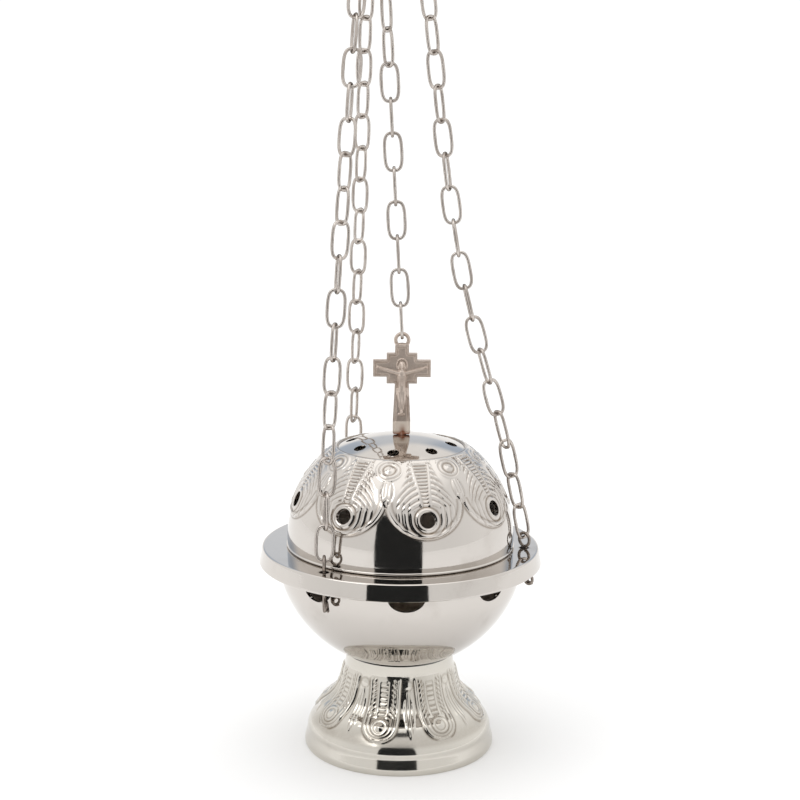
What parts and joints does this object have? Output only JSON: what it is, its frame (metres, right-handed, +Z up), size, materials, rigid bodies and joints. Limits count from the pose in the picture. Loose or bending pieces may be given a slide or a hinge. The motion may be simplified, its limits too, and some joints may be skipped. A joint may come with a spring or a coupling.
{
  "type": "hanging censer",
  "caption": "Hand censer: footed bowl with a pierced domed lid and cross, hung on chains from a canopy with a bail; a lifting chain raises the lid.",
  "frame": {"origin": "underside of the crown of the bail, where a hand or hook carries the censer; the bowl's axis lies 8 mm towards +X from it", "axes": "+Z up along the hanging line, -Y towards the face of the cross that carries the figure, +X to the right of a viewer who faces it"},
  "size_m": [0.1106, 0.1106, 0.3519],
  "materials": {
    "nickel": "nickel plated and polished to a mirror",
    "chain": "plated wire, warm and slightly dulled",
    "cast": "cast and plated, worn to a rosy satin",
    "steel": "plain",
    "brass": "spun, darkened by heat"
  },
  "bodies": {
    "bail": {"bail": "nickel"},
    "censer": {"canopy": "nickel", "upper_pin_left": "chain", "upper_pin_right": "chain", "upper_pin_rear": "chain", "lower_pin_left": "chain", "lower_pin_right": "chain", "lower_pin_rear": "chain", "rim_ring": "nickel", "bowl": "nickel", "charcoal_cup": "brass", "foot": "nickel", "foot_screw": "steel", "foot_washer": "steel", "foot_nut": "steel"},
    "lid": {"lid": "nickel", "cross": "cast", "cross_washer": "steel", "cross_nut": "steel", "lifting_chain": "chain"},
    "lifting_ring": {"lifting_ring": "chain"},
    "chain_left_lower": {"chain_left_lower": "chain"},
    "chain_left_upper": {"chain_left_upper": "chain"},
    "chain_right_lower": {"chain_right_lower": "chain"},
    "chain_right_upper": {"chain_right_upper": "chain"},
    "chain_rear_lower": {"chain_rear_lower": "chain"},
    "chain_rear_upper": {"chain_rear_upper": "chain"}
  },
  "joints": [
    {"name": "swing", "type": "hinge", "parent": "bail", "child": "censer", "pos_m": [0, 0, -0.0425], "axis": [0, 1, 0], "range_deg": [-60, 60]},
    {"name": "lid_lift", "type": "slide", "parent": "censer", "child": "lid", "axis": [0, 0, 1], "range_m": [0, 0.022]},
    {"name": "lifting_ring_hinge", "type": "hinge", "parent": "lid", "child": "lifting_ring", "pos_m": [0, 0, -0.0468], "axis": [0, 1, 0], "range_deg": [0, 95]},
    {"name": "chain_left_lower_spread", "type": "hinge", "parent": "censer", "child": "chain_left_lower", "pos_m": [-0.02016, -0.03948, -0.26347], "axis": [0.8141, -0.5807, 0], "range_deg": [0, 5.1]},
    {"name": "chain_left_upper_spread", "type": "hinge", "parent": "censer", "child": "chain_left_upper", "pos_m": [-0.00918, -0.01286, -0.05383], "axis": [-0.8141, 0.5807, 0], "range_deg": [0, 1.2]},
    {"name": "chain_right_lower_spread", "type": "hinge", "parent": "censer", "child": "chain_right_lower", "pos_m": [0.05628, -0.00465, -0.26347], "axis": [0.0958, 0.9954, 0], "range_deg": [0, 13.1]},
    {"name": "chain_right_upper_spread", "type": "hinge", "parent": "censer", "child": "chain_right_upper", "pos_m": [0.01573, -0.00151, -0.05383], "axis": [-0.0958, -0.9954, 0], "range_deg": [0, 3.1]},
    {"name": "chain_rear_lower_spread", "type": "hinge", "parent": "censer", "child": "chain_rear_lower", "pos_m": [-0.01211, 0.04413, -0.26347], "axis": [-0.91, -0.4147, 0], "range_deg": [0, 6.1]},
    {"name": "chain_rear_upper_spread", "type": "hinge", "parent": "censer", "child": "chain_rear_upper", "pos_m": [-0.00655, 0.01438, -0.05383], "axis": [0.91, 0.4147, 0], "range_deg": [0, 1.4]}
  ],
  "couplings": [
    {"joint": "chain_left_lower_spread", "follows": "lid_lift", "rad_per_m": 3.9667},
    {"joint": "chain_left_upper_spread", "follows": "lid_lift", "rad_per_m": 0.87266},
    {"joint": "chain_right_lower_spread", "follows": "lid_lift", "rad_per_m": 10.313},
    {"joint": "chain_right_upper_spread", "follows": "lid_lift", "rad_per_m": 2.38},
    {"joint": "chain_rear_lower_spread", "follows": "lid_lift", "rad_per_m": 4.76},
    {"joint": "chain_rear_upper_spread", "follows": "lid_lift", "rad_per_m": 1.0313}
  ]
}
